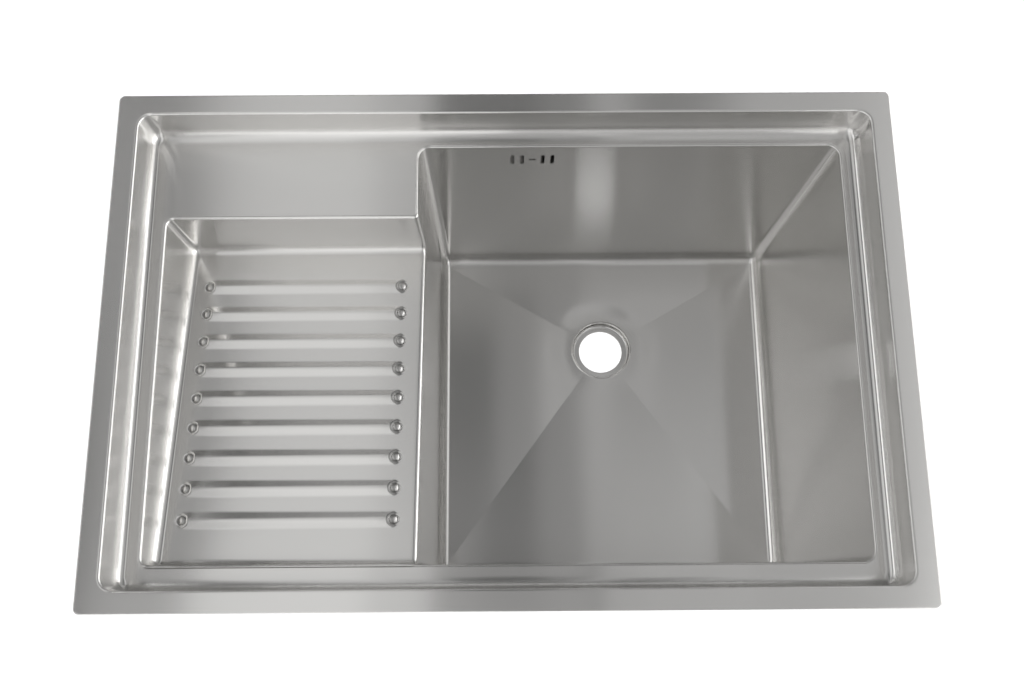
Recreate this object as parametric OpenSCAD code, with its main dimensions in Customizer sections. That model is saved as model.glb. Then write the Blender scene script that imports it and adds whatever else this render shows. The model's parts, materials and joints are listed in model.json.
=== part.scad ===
// Inset laundry sink: a washboard tray beside one deep bowl, all in brushed stainless sheet.
// Millimetres. +Z is up and +Y points to the wall behind the sink. The origin is the centre of
// the rim on the worktop plane, so everything that hangs in the cut-out has a negative Z.

/* [Sheet] */
// Thickness of the stainless sheet
sheet_t = 1.2; // [0.8:0.1:1.5]

/* [Rim and step] */
// Width of the rim, left to right
rim_w = 680; // [660:5:760]
// Depth of the rim, front to back
rim_d = 450; // [440:5:500]
// Corner radius of the rim
rim_corner_r = 5; // [2:1:12]
// Width of the flat flange that lies on the worktop
flange_w = 18; // [16:1:24]
// Depth of the step, from the flange down to the ledge
step_h = 28; // [22:1:36]
// Corner radius of the step, seen from above
step_corner_r = 12; // [9:1:18]
// Radius of the fold along the top of the step
step_fold_r = 2; // [1.6:0.2:4]
// Radius of the bend along the foot of the step
step_foot_r = 6; // [3:0.5:7]
// Width of the ledge beside the bowl and beside the washboard
ledge_side = 16; // [14:1:20]
// Width of the ledge along the front
ledge_front = 20; // [16:1:24]
// Width of the ledge behind the bowl
ledge_back = 14; // [14:1:20]

/* [Rim seal] */
// Thickness of the foam seal once the sink is clamped down
seal_t = 1.5; // [1:0.5:3]
// Width of the foam seal
seal_w = 10; // [6:1:12]
// Distance of the seal from the outer edge of the rim
seal_inset = 2; // [1:0.5:3]

/* [Bowl] */
// Width of the bowl, inside
bowl_w = 385.5; // [360:0.5:400]
// Depth of the bowl from the ledge to the edge of its floor
bowl_h = 217; // [180:1:260]
// Radius of the corners and of the foot of the bowl
bowl_r = 11; // [8:1:16]
// Fall of the floor from its edges to the waste
floor_fall = 8; // [4:1:14]

/* [Waste] */
// Distance from the centre of the bowl back to the centre of the waste
waste_back = 75; // [40:1:90]
// Diameter of the waste hole
waste_hole_d = 52; // [45:1:60]
// Diameter of the pressed seat around the waste hole
waste_seat_d = 72; // [70:1:90]
// Depth of the pressed seat below the floor
waste_seat_h = 6; // [4:0.5:9]
// Radius of the bend at the foot of the seat
waste_bend_r = 3; // [1:0.5:3.5]

/* [Washboard] */
// Depth of the washboard tray, front to back
board_d = 311; // [290:1:330]
// Depth of the tray floor below the ledge, at the back
board_back_h = 57; // [46:1:64]
// Depth of the tray floor below the ledge, at the front
board_front_h = 23; // [20:1:30]
// Radius of the corners and of the foot of the tray
board_r = 8; // [6:1:12]
// Radius of the rolled edge where the tray floor turns down into the bowl
roll_r = 5; // [3:0.5:7]
// Number of washboard ribs
rib_count = 9; // [5:1:9]
// Distance between ribs
rib_pitch = 28.5; // [24:0.5:30]
// Width of a rib
rib_w = 12; // [9:0.5:15]
// Height of a rib
rib_h = 4.5; // [3:0.5:4.5]
// Distance from the side of the tray to the centre of a rib's round end
rib_margin = 20.5; // [16:0.5:30]

/* [Overflow] */
// Distance from the centre of the waste to the centre of the overflow, to the left
overflow_left = 88; // [60:1:120]
// Distance from the ledge down to the centre of the overflow slots
overflow_drop = 19; // [17:1:26]
// Width of an overflow slot
slot_w = 3.7; // [3:0.1:3.9]
// Height of an overflow slot
slot_h = 13; // [10:0.5:16]
// Distance from the centre to each inner slot
slot_inner = 9.7; // [8:0.1:11]
// Distance from the centre to each outer slot
slot_outer = 18.8; // [17:0.1:22]
// Width of the short slot in the middle
slot_dash_w = 6.4; // [5:0.2:8]
// Height of the short slot in the middle
slot_dash_h = 2.4; // [2:0.1:3]
// Width of the overflow box
box_w = 62; // [56:1:80]
// Height of the overflow box
box_h = 44; // [40:1:70]
// Depth of the overflow box
box_d = 18; // [16:1:19]
// Outer diameter of the spigot for the overflow hose
spigot_d = 12; // [10:0.5:13]
// Length of the spigot below the box
spigot_l = 22; // [14:1:40]
// Wall of the overflow box and its spigot
box_t = 1; // [0.8:0.1:1.5]

/* [Stiffeners] */
// Width of a stiffening channel under the tray
channel_w = 20; // [14:1:26]
// Depth of a stiffening channel
channel_h = 10; // [6:1:14]
// Width of each welded foot of a channel
channel_foot = 8; // [5:1:10]
// Distance of each channel from the middle of the tray
channel_offset = 55; // [40:1:70]
// Length left free at each end of a channel
channel_end_gap = 30; // [24:1:60]

/* [Sound pads] */
// Thickness of the rubber sound pads
pad_t = 2.5; // [1.5:0.5:3]
// Height of the pads on the walls
pad_wall_h = 110; // [60:5:120]
// Distance from the edge of the bowl floor up to the wall pads
pad_wall_up = 25; // [20:5:40]
// Distance from the corners of the bowl to the ends of the wall pads
pad_wall_end = 55; // [30:5:100]
// Width of the floor pads, square to the fall
pad_floor_w = 150; // [80:5:180]
// Length of the floor pads, along the fall
pad_floor_l = 90; // [50:5:100]
// Distance from the bowl's foot bend to the floor pads
pad_floor_edge = 12; // [6:1:20]

/* [Clips] */
// Distance of the front and back clips from the middle of the sink
clip_x = 200; // [150:5:240]
// Distance from the inner face of the step in to the clip screws
clip_inset = 5.5; // [5:0.5:6.5]
// Width of the clip brackets and of the claws
clip_w = 12; // [10:0.5:12]
// Thickness of the bracket strip
bracket_t = 1.5; // [1:0.1:2]
// Distance the brackets hang below the ledge
bracket_drop = 22; // [20:1:28]
// Length of a bracket between the outer faces of its legs
bracket_l = 26; // [22:1:30]
// Length of each bracket foot
bracket_foot = 9; // [6:1:9]
// Diameter of the clip screws
screw_d = 5; // [4:0.5:5]
// Diameter of the screw heads
screw_head_d = 9; // [8:0.5:11]
// Height of the screw heads
screw_head_h = 3.2; // [2.4:0.2:4.5]
// Height of the weld nuts
nut_h = 4; // [3:0.5:5]
// Width across the flats of the weld nuts
nut_af = 8; // [7:0.5:9]
// Travel of a clip from slack to tight
clip_travel = 15; // [8:1:15]
// Distance from the screw to the outer face of the claw's jaw
claw_reach = 28; // [27:1:34]
// Thickness of the claw
claw_t = 2; // [1.5:0.5:3]
// Outer radius of the bend between the claw's arm and its jaw
claw_bend_r = 4; // [3.5:0.5:6]

/* [Hidden] */

// Clearances and small features
run_gap = 0.08;      // radial clearance of a screw in its nut and claw
seat_gap = 0.2;      // clearance between a screw head and the claw above it
bracket_gap = 0.5;   // clearance between a tight claw and its bracket
ledge_gap = 1;       // clearance between the ledge and the tight screw tip or jaw
glue_gap = 0.1;      // thickness of the adhesive under the sound pads
screw_hole_gap = 0.3; // radial clearance of a screw in its bracket
slot_cut = 1.2;      // width of the driving slot in a screw head
slot_deep = 1.6;     // depth of the driving slot
tip_bevel = 0.8;     // bevel at the tip of a screw
notch_w = 4;         // width of the notch between the two points of a jaw
notch_h = 2.5;       // depth of that notch
box_lip = 5;         // width of the welded lip around the overflow box
box_top_gap = 4;     // distance from the ledge down to the overflow box
eps = 0.02;          // overlap of cutting tools
round_fn = 48;       // segments of a rounded corner
roll_steps = 6;      // steps of the rolled edge

// Rim and step
open_w = rim_w - 2 * flange_w;
open_d = rim_d - 2 * flange_w;
flange_z = seal_t + sheet_t;
ledge_z = flange_z - step_h;
under_z = ledge_z - sheet_t;

// Bowl
bowl_x1 = open_w / 2 - ledge_side;
bowl_x0 = bowl_x1 - bowl_w;
bowl_y0 = -open_d / 2 + ledge_front;
bowl_y1 = open_d / 2 - ledge_back;
bowl_cx = (bowl_x0 + bowl_x1) / 2;
bowl_cy = (bowl_y0 + bowl_y1) / 2;
floor_z = ledge_z - bowl_h;
waste_x = bowl_cx;
waste_y = bowl_cy + waste_back;
waste_z = floor_z - floor_fall;
seat_z = waste_z - waste_seat_h;
seat_r = waste_seat_d / 2;

// Overflow
spigot_y = (box_t + box_d) / 2;

// Washboard
board_x0 = -bowl_x1;
board_y0 = bowl_y0;
board_y1 = board_y0 + board_d;
roll_x = bowl_x0 - roll_r;
board_tilt = atan((board_back_h - board_front_h) / board_d);
board_cy = (board_y0 + board_y1) / 2;
board_cx = (board_x0 + roll_x) / 2;
rib_r = (rib_w * rib_w / 4 + rib_h * rib_h) / (2 * rib_h);

// Clips
nut_bore_r = screw_d / 2 + run_gap;
bracket_z = under_z - bracket_drop;
tip_z = under_z - ledge_gap - clip_travel;
claw_z = bracket_z - bracket_gap - clip_travel;
jaw_h = under_z - ledge_gap - clip_travel - claw_z;
head_z = claw_z - claw_t - seat_gap;
clip_line_x = open_w / 2 - clip_inset;
clip_line_y = open_d / 2 - clip_inset;
CLIPS = [
    [-clip_x, -clip_line_y, -90], [clip_x, -clip_line_y, -90], [clip_line_x, 0, 0],
    [clip_x, clip_line_y, 90], [-clip_x, clip_line_y, 90], [-clip_line_x, 0, 180]
];

// Height of the tray floor at a place y
function board_z(y) = ledge_z - board_front_h - (y - board_y0) * tan(board_tilt);

// Height of the centre of a ball of the tray's radius that lies on the tray floor
function ball_z(y) = board_z(y) + board_r / cos(board_tilt);

// Points of an arc
function arc(c, r, a0, a1, n) = [
    for (i = [0 : n]) c + r * [cos(a0 + (a1 - a0) * i / n), sin(a0 + (a1 - a0) * i / n)]
];

// Section of the tray's hollow in Y and Z, made larger all round by grow and open above by past
function board_section(grow, past) = let (
    r = board_r + grow,
    back = [board_y1 - board_r, ball_z(board_y1 - board_r)],
    front = [board_y0 + board_r, ball_z(board_y0 + board_r)],
    down = -90 - board_tilt
) concat(
    [[back.x + r, ledge_z + past]],
    arc(back, r, 0, down, round_fn / 4),
    arc(front, r, down, -180, round_fn / 4),
    [[front.x - r, ledge_z + past]]
);

// Row of points across the tray at the angle a of its rolled edge. inset is 0 on the upper face.
function roll_row(a, inset) = let (r = roll_r - inset) [
    for (p = board_section(roll_r - r * cos(a), 0))
        [roll_x + r * sin(a), max(p.x, board_y0 - inset), p.y]
];

// Rectangle with true round corners
module round_rect(w, d, r) {
    square([w - 2 * r, d], center = true);
    square([w, d - 2 * r], center = true);
    for (x = [-1, 1], y = [-1, 1])
        translate([x * (w / 2 - r), y * (d / 2 - r)]) circle(r, $fn = 64);
}

// Sweep of a flat profile round a rectangle with rounded corners. X of the profile points outwards.
module sweep_ring(w, d, r) {
    for (k = [0 : 3]) {
        across = k % 2 == 0 ? w : d;
        along = k % 2 == 0 ? d : w;
        rotate([0, 0, 90 * k]) {
            translate([across / 2, 0, 0]) rotate([90, 0, 0])
                linear_extrude(along - 2 * r, center = true) children();
            translate([across / 2 - r, along / 2 - r, 0])
                rotate_extrude(angle = 90, $fn = 64) translate([r, 0]) children();
        }
    }
}

// Quarter of a sheet bend, with its centre at the origin, in the quadrant that starts at angle a
module sheet_bend(outer_r, a) {
    rotate(a) intersection() {
        difference() {
            circle(outer_r, $fn = 64);
            circle(outer_r - sheet_t, $fn = 64);
        }
        square(outer_r);
    }
}

// Slab of the tray's section between two places along X, no further forward than y_front
module board_slab(grow, x_from, x_to, y_front) {
    intersection() {
        translate([x_from, 0, 0]) rotate([90, 0, 90])
            linear_extrude(x_to - x_from) polygon(board_section(grow, 0));
        translate([x_from, y_front, floor_z])
            cube([x_to - x_from, rim_d, rim_d]);
    }
}

// Ball with points at its poles and its equator, for rounded feet
module foot_ball(r) {
    rotate_extrude($fn = round_fn) intersection() {
        circle(r, $fn = round_fn);
        translate([0, -r]) square([r, 2 * r]);
    }
}

// Hollow of the tray up to its rolled edge, made larger all round by grow and open by past
module board_hollow(grow, past) {
    r = board_r + grow;
    hull() {
        for (y = [board_y0 + board_r, board_y1 - board_r]) {
            translate([board_x0 + board_r, y, ball_z(y)]) rotate([-board_tilt, 0, 0]) foot_ball(r);
            translate([board_x0 + board_r, y, ledge_z + past - 1]) cylinder(r = r, h = 1, $fn = round_fn);
        }
        translate([roll_x + past - 1, 0, 0]) rotate([90, 0, 90])
            linear_extrude(1) polygon(board_section(grow, past));
    }
}

// Edge of the tray that rolls down into the left wall of the bowl. The front wall stays flat.
module board_roll() {
    n = len(board_section(0, 0));
    face = (roll_steps + 1) * n;
    points = [for (inset = [0, sheet_t], k = [0 : roll_steps]) each roll_row(90 * k / roll_steps, inset)];
    sides = [
        for (k = [0 : roll_steps - 1], j = [0 : n - 2]) each let (i = k * n + j) [
            [i, i + n, i + 1], [i + 1, i + n, i + n + 1],
            [face + i, face + i + 1, face + i + n], [face + i + 1, face + i + n + 1, face + i + n]
        ]
    ];
    ends = [
        for (j = [0 : n - 2]) each let (i = j, m = roll_steps * n + j) [
            [i, i + 1, face + i], [i + 1, face + i + 1, face + i],
            [m, face + m, m + 1], [m + 1, face + m, face + m + 1]
        ]
    ];
    tops = [
        for (k = [0 : roll_steps - 1]) each let (i = k * n, m = k * n + n - 1) [
            [i, face + i, i + n], [i + n, face + i, face + i + n],
            [m, m + n, face + m], [m + n, face + m + n, face + m]
        ]
    ];
    polyhedron(points, concat(sides, ends, tops));
}

// Ribs on the tray floor with ball ends, made smaller all round by inset
module ribs(inset) {
    r = rib_r - inset;
    x0 = board_x0 + rib_margin;
    l = bowl_x0 - rib_margin - x0;
    for (i = [0 : rib_count - 1]) {
        y = board_cy + (i - (rib_count - 1) / 2) * rib_pitch;
        translate([x0, y, board_z(y)]) rotate([-board_tilt, 0, 0]) translate([0, 0, rib_h - rib_r])
            rotate([0, 90, 0]) rotate_extrude($fn = round_fn) {
                square([r, l]);
                for (end = [0, l]) intersection() {
                    translate([0, end]) circle(r, $fn = round_fn);
                    translate([0, end - r]) square([r, 2 * r]);
                }
            }
    }
}

// Hollow of the bowl, made larger all round by grow
module bowl_hollow(grow) {
    r = bowl_r + grow;
    hull() {
        for (x = [bowl_x0 + bowl_r, bowl_x1 - bowl_r], y = [bowl_y0 + bowl_r, bowl_y1 - bowl_r]) {
            translate([x, y, floor_z + bowl_r]) foot_ball(r);
            translate([x, y, ledge_z]) cylinder(r = r, h = 1, $fn = round_fn);
        }
        translate([waste_x, waste_y, waste_z - grow]) cylinder(r = 1, h = 1, $fn = round_fn);
    }
}

// Opening in the ledge for the bowl and the tray, out to the outer faces of their walls
module ledge_opening() {
    translate([bowl_cx, bowl_cy])
        round_rect(bowl_w + 2 * sheet_t, bowl_y1 - bowl_y0 + 2 * sheet_t, bowl_r + sheet_t);
    translate([(board_x0 + bowl_cx) / 2, board_cy])
        round_rect(bowl_cx - board_x0 + 2 * sheet_t, board_d + 2 * sheet_t, board_r + sheet_t);
    difference() {
        translate([roll_x, board_y1]) square(roll_r);
        translate([roll_x, board_y1 + roll_r]) circle(roll_r - sheet_t, $fn = 64);
    }
}

// Flange, step and ledge, pressed from one sheet
module deck() {
    color("silver") {
        sweep_ring(open_w, open_d, step_corner_r) {
            union() {
                translate([step_fold_r, flange_z - step_fold_r]) sheet_bend(step_fold_r, 90);
                translate([0, ledge_z + step_foot_r])
                    square([sheet_t, step_h - step_fold_r - step_foot_r]);
                translate([-step_foot_r, ledge_z + step_foot_r]) sheet_bend(step_foot_r + sheet_t, -90);
            }
        }
        translate([0, 0, seal_t]) linear_extrude(sheet_t) difference() {
            round_rect(rim_w, rim_d, rim_corner_r);
            round_rect(open_w + 2 * step_fold_r, open_d + 2 * step_fold_r, step_corner_r + step_fold_r);
        }
        translate([0, 0, under_z]) linear_extrude(sheet_t) difference() {
            round_rect(open_w - 2 * step_foot_r, open_d - 2 * step_foot_r, step_corner_r - step_foot_r);
            ledge_opening();
        }
    }
}

// Washboard tray: three walls, a sloping floor with pressed ribs, and an edge rolled into the bowl
module washboard() {
    color("silver") {
        difference() {
            board_hollow(sheet_t, 0);
            difference() {
                board_hollow(0, 1);
                ribs(0);
            }
            ribs(sheet_t);
        }
        board_roll();
    }
}

// Cup that is pressed into the floor around the waste hole
module waste_cup() {
    translate([waste_x, waste_y, 0]) rotate_extrude($fn = 96) {
        translate([seat_r - waste_bend_r, seat_z + waste_bend_r]) sheet_bend(waste_bend_r + sheet_t, -90);
        translate([seat_r, seat_z + waste_bend_r])
            square([sheet_t, waste_seat_h + floor_fall - waste_bend_r]);
        translate([waste_hole_d / 2, seat_z - sheet_t])
            square([seat_r - waste_bend_r - waste_hole_d / 2, sheet_t]);
    }
}

// Slot with round ends through the back wall of the bowl
module wall_slot(x, w, h) {
    r = min(w, h) / 2;
    dx = w / 2 - r;
    dz = h / 2 - r;
    translate([x, bowl_y1 - bowl_r, ledge_z - overflow_drop]) rotate([-90, 0, 0])
        linear_extrude(2 * bowl_r) {
            square([w - (dx > 0 ? 2 * r : 0), h - (dz > 0 ? 2 * r : 0)], center = true);
            for (k = [-1, 1]) translate([k * dx, k * dz]) circle(r, $fn = 32);
        }
}

// Deep bowl with an X-creased floor that falls to the waste, and the overflow slots
module bowl() {
    overflow_x = waste_x - overflow_left;
    shelf_x = bowl_x0 + bowl_r + sheet_t;
    color("silver") difference() {
        union() {
            difference() {
                union() {
                    bowl_hollow(sheet_t);
                    board_slab(roll_r + sheet_t, bowl_x0 - sheet_t, shelf_x, board_y0 - sheet_t);
                }
                translate([waste_x, waste_y, seat_z - eps])
                    cylinder(r = seat_r, h = floor_fall + waste_seat_h + sheet_t, $fn = 96);
            }
            waste_cup();
        }
        bowl_hollow(0);
        board_slab(roll_r, bowl_x0 - sheet_t - 1, bowl_x0, board_y0 - 2 * sheet_t);
        board_slab(roll_r, bowl_x0 - eps, shelf_x + 1, board_y0);
        translate([-rim_w, -rim_d, ledge_z]) cube([2 * rim_w, 2 * rim_d, rim_d]);
        for (k = [-1, 1]) {
            wall_slot(overflow_x + k * slot_inner, slot_w, slot_h);
            wall_slot(overflow_x + k * slot_outer, slot_w, slot_h);
        }
        wall_slot(overflow_x, slot_dash_w, slot_dash_h);
    }
}

// Centre of the overflow box on the outer face of the bowl's back wall, at the top of the box
module at_overflow() {
    translate([waste_x - overflow_left, bowl_y1 + sheet_t, under_z - box_top_gap]) children();
}

// Box that catches the overflow behind the slots, open to the wall and welded by a lip
module overflow_box() {
    color("gray") at_overflow() difference() {
        union() {
            translate([-box_w / 2, 0, -box_h]) cube([box_w, box_t, box_h]);
            translate([-box_w / 2 + box_lip, 0, -box_h + box_lip])
                cube([box_w - 2 * box_lip, box_d, box_h - 2 * box_lip]);
        }
        translate([-box_w / 2 + box_lip + box_t, -1, -box_h + box_lip + box_t])
            cube([box_w - 2 * (box_lip + box_t), box_d - box_t + 1, box_h - 2 * (box_lip + box_t)]);
        translate([0, spigot_y, -box_h])
            cylinder(d = spigot_d - 2 * box_t, h = 2 * (box_lip + box_t), $fn = 64);
    }
}

// Spigot for the overflow hose, welded under the box
module overflow_spigot() {
    color("gray") at_overflow() translate([0, spigot_y, -box_h + box_lip - spigot_l])
        difference() {
            cylinder(d = spigot_d, h = spigot_l, $fn = 64);
            translate([0, 0, -1]) cylinder(d = spigot_d - 2 * box_t, h = spigot_l + 2, $fn = 64);
        }
}

// Foam strip between the flange and the worktop
module rim_seal() {
    color("dimgray") linear_extrude(seal_t) difference() {
        round_rect(rim_w - 2 * seal_inset, rim_d - 2 * seal_inset, rim_corner_r);
        round_rect(
            rim_w - 2 * (seal_inset + seal_w), rim_d - 2 * (seal_inset + seal_w), rim_corner_r
        );
    }
}

// Channel welded under the tray floor, from front to back
module stiffener(x) {
    l = board_d / cos(board_tilt) - 2 * channel_end_gap;
    outer = channel_w / 2 + channel_foot;
    color("darkgray") translate([x, board_cy, board_z(board_cy)]) rotate([-board_tilt, 0, 0])
        translate([0, 0, -sheet_t]) rotate([90, 0, 0]) linear_extrude(l, center = true) {
            translate([-channel_w / 2, -channel_h]) square([channel_w, sheet_t]);
            for (k = [-1, 1]) {
                translate([k * (channel_w - sheet_t) / 2 - sheet_t / 2, -channel_h])
                    square([sheet_t, channel_h]);
                translate([k > 0 ? channel_w / 2 - sheet_t : -outer, -sheet_t])
                    square([channel_foot + sheet_t, sheet_t]);
            }
        }
}

// Rubber pad on a wall of the bowl, whose outer face is x away
module wall_pad(angle, x, l) {
    color("dimgray") translate([bowl_cx, bowl_cy, floor_z + pad_wall_up]) rotate([0, 0, angle])
        translate([x + glue_gap, -l / 2, 0]) cube([pad_t, l, pad_wall_h]);
}

// Rubber pad under a facet of the floor. The facet's foot is x away, and it falls over run.
module floor_pad(angle, x, y, run) {
    color("dimgray") translate([bowl_cx, bowl_cy, floor_z - sheet_t]) rotate([0, 0, angle])
        translate([x, y, 0]) rotate([0, -atan(floor_fall / run), 0])
            translate([-pad_floor_edge - pad_floor_l, -pad_floor_w / 2, -pad_t - glue_gap])
                cube([pad_floor_l, pad_floor_w, pad_t]);
}

// Places a child at a clip, with X pointing out under the worktop
module at_clip(k) {
    translate([CLIPS[k].x, CLIPS[k].y, 0]) rotate([0, 0, CLIPS[k].z]) children();
}

// Strip brackets welded under the ledge, one for each clip
module clip_brackets() {
    color("darkgray") for (k = [0 : len(CLIPS) - 1]) at_clip(k) difference() {
        rotate([90, 0, 90]) linear_extrude(clip_w, center = true) {
            translate([-bracket_l / 2, bracket_z]) square([bracket_l, bracket_t]);
            for (m = [-1, 1]) {
                translate([m * (bracket_l - bracket_t) / 2 - bracket_t / 2, bracket_z])
                    square([bracket_t, bracket_drop]);
                translate([m > 0 ? bracket_l / 2 - bracket_t : -bracket_l / 2 - bracket_foot,
                           under_z - bracket_t])
                    square([bracket_foot + bracket_t, bracket_t]);
            }
        }
        translate([0, 0, bracket_z - 1])
            cylinder(r = screw_d / 2 + screw_hole_gap, h = bracket_t + 2, $fn = 48);
    }
}

// Nuts welded inside the brackets
module clip_nuts() {
    color("darkgray") for (k = [0 : len(CLIPS) - 1]) at_clip(k)
        translate([0, 0, bracket_z + bracket_t]) difference() {
            cylinder(d = nut_af / cos(30), h = nut_h, $fn = 6);
            translate([0, 0, -1]) cylinder(r = nut_bore_r, h = nut_h + 2, $fn = 48);
        }
}

// Clamping screw, with its head below the claw
module clip_screw(k) {
    color("lightgray") at_clip(k) difference() {
        union() {
            translate([0, 0, head_z - screw_head_h])
                cylinder(d = screw_head_d, h = screw_head_h, $fn = 48);
            translate([0, 0, head_z - eps])
                cylinder(d = screw_d, h = tip_z - tip_bevel - head_z + eps, $fn = 48);
            translate([0, 0, tip_z - tip_bevel])
                cylinder(r1 = screw_d / 2, r2 = screw_d / 2 - tip_bevel, h = tip_bevel, $fn = 48);
        }
        translate([-screw_head_d, -slot_cut / 2, head_z - screw_head_h - eps])
            cube([2 * screw_head_d, slot_cut, slot_deep]);
    }
}

// Claw that swings on the screw and grips the worktop from below. It lies folded along the wall.
module clip_claw(k) {
    inner = claw_bend_r - claw_t;
    color("lightgray") at_clip(k) rotate([0, 0, -90]) difference() {
        union() {
            translate([0, 0, claw_z - claw_t]) linear_extrude(claw_t) {
                circle(clip_w / 2, $fn = 64);
                translate([0, -clip_w / 2]) square([claw_reach - claw_bend_r, clip_w]);
            }
            translate([claw_reach - claw_bend_r, 0, claw_z + inner]) rotate([90, 0, 0])
                linear_extrude(clip_w, center = true) intersection() {
                    difference() {
                        circle(claw_bend_r, $fn = 64);
                        circle(inner, $fn = 64);
                    }
                    translate([0, -claw_bend_r]) square(claw_bend_r);
                }
            translate([claw_reach - claw_t, -clip_w / 2, claw_z + inner])
                cube([claw_t, clip_w, jaw_h - inner]);
        }
        translate([0, 0, claw_z - claw_t - 1]) cylinder(r = nut_bore_r, h = claw_t + 2, $fn = 48);
        translate([claw_reach - claw_t - 1, 0, claw_z + jaw_h]) rotate([90, 0, 90])
            linear_extrude(claw_t + 2)
                polygon([[-notch_w / 2, eps], [0, -notch_h], [notch_w / 2, eps]]);
    }
}

deck();
washboard();
bowl();
overflow_box();
overflow_spigot();
rim_seal();
stiffener(board_cx - channel_offset);  // stiffener_left
stiffener(board_cx + channel_offset);  // stiffener_right
wall_pad(180, bowl_w / 2 + sheet_t, bowl_y1 - bowl_y0 - 2 * pad_wall_end);  // pad_left
wall_pad(0, bowl_w / 2 + sheet_t, bowl_y1 - bowl_y0 - 2 * pad_wall_end);  // pad_right
wall_pad(-90, (bowl_y1 - bowl_y0) / 2 + sheet_t, bowl_w - 2 * pad_wall_end);  // pad_front
wall_pad(90, (bowl_y1 - bowl_y0) / 2 + sheet_t, bowl_w - 2 * pad_wall_end);  // pad_back
floor_pad(-90, bowl_cy - bowl_y0 - bowl_r, 0, waste_y - bowl_y0 - bowl_r);  // pad_floor_front
floor_pad(180, bowl_w / 2 - bowl_r, bowl_cy - waste_y, bowl_w / 2 - bowl_r);  // pad_floor_left
floor_pad(0, bowl_w / 2 - bowl_r, waste_y - bowl_cy, bowl_w / 2 - bowl_r);  // pad_floor_right
clip_brackets();
clip_nuts();
clip_screw(0);  // screw_front_left
clip_screw(1);  // screw_front_right
clip_screw(2);  // screw_right
clip_screw(3);  // screw_back_right
clip_screw(4);  // screw_back_left
clip_screw(5);  // screw_left
clip_claw(0);  // claw_front_left
clip_claw(1);  // claw_front_right
clip_claw(2);  // claw_right
clip_claw(3);  // claw_back_right
clip_claw(4);  // claw_back_left
clip_claw(5);  // claw_left
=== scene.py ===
"""Inset laundry sink in brushed stainless steel, seen from above its front edge."""

import json
import math

import bmesh
import bpy
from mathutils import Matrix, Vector


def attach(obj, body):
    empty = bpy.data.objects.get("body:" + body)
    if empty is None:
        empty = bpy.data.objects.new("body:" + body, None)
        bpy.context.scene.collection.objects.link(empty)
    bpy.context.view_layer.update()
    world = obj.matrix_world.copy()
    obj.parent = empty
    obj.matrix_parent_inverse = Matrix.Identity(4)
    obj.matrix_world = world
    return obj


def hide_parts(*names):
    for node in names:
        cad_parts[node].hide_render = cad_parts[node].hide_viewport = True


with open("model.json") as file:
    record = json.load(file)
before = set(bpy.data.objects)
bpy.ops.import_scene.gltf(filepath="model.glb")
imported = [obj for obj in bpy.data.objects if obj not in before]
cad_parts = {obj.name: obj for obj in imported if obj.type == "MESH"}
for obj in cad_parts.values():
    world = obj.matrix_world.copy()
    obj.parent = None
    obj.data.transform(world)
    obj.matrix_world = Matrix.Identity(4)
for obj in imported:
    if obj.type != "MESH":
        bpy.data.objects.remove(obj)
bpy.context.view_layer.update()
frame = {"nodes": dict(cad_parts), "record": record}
scene = bpy.context.scene
MM = 0.001

# Camera: the photograph's place in metres, turn in degrees and lens

view = bpy.data.cameras.new("view")
view.sensor_width = 36
view.lens = 24.33
view.shift_y = 0.128
view.clip_start = 0.01
view.clip_end = 50
camera = bpy.data.objects.new("camera", view)
scene.collection.objects.link(camera)
scene.camera = camera
camera.location = (0.0023, -0.2094, 0.5528)
camera.rotation_euler = [math.radians(angle) for angle in (9.1338, -0.0808, -0.4183)]

# Sizes in millimetres, as in the CAD part. Read off the photograph instead: the waste seat's radius and its
# bead, the flatter floor round the seat, the wider foot bend of the step at the front, back and right, the
# roll of the tray's edge, the form and length of the ribs with the marks at their ends, the flatter bends at
# the left and right of the bowl's floor, and the rounded top edges of the bowl and the tray.

SHEET = 1.2
RIM_W, RIM_D, RIM_R = 680, 450, 5
OPEN_W, OPEN_D, OPEN_R = 644, 414, 12
FLANGE_Z = 2.7
LEDGE_Z = FLANGE_Z - 28
FOLD_R, FOOT_R, WIDER_FOOT = 2, 6, 4
BOWL_X0, BOWL_X1 = -79.5, 306
BOWL_Y0, BOWL_Y1 = -187, 193
BOWL_R = 11
FLOOR_Z = LEDGE_Z - 217
FALL = 8
WASTE_X, WASTE_Y = 113.25, 78
FLATTER = 0.6
SEAT_R, SEAT_H, SEAT_FOOT_R, HOLE_R = 34.2, 6, 3, 26
LIP_R, LIP_RISE, LIP_FADE = 0.7, 1.7, 28
BEAD_W, BEAD_H = 1.3, 0.7
SEAT_RIM = SEAT_R + LIP_R + BEAD_W
TRAY_X0, TRAY_Y0, TRAY_Y1 = -306, -187, 124
TRAY_R = 8
TRAY_FRONT, TRAY_BACK = 23, 57
ROLL_R = 3
RIBS, RIB_PITCH, RIB_W, RIB_MARGIN = 9, 28.5, 16.8, 23.5
RIB_SLOPE, RIB_CROWN, RIB_FOOT = math.radians(24), 3, 6
MARK_R, MARK_DEPTH, MARK_W, MARK_OUT = 3.6, 1.2, 1.2, 2.6
OVERFLOW_X, OVERFLOW_Z = WASTE_X - 88, LEDGE_Z - 19
SLOT_W, SLOT_H, SLOT_PLACES = 3.7, 13, (-18.8, -9.7, 9.7, 18.8)
DASH_W, DASH_H = 6.4, 2.4
EDGE_R = 1.5

# Steps of the meshes round each bend and corner, and along the walls.
EDGE_STEPS, FOLD_STEPS, ROLL_STEPS, LEDGE_STEPS, LIP_STEPS, SEAT_FOOT_STEPS = 4, 6, 8, 8, 5, 6
TRAY_FOOT_STEPS, TRAY_CORNER_STEPS, STEP_FOOT_STEPS, BOWL_FOOT_STEPS = 10, 10, 12, 16
WALL_STEPS, LOW_STEPS, CORNER_STEPS, LONG_STEPS = 4, 8, 12, 36
RIM_STEPS = (40, 26, CORNER_STEPS)
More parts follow.
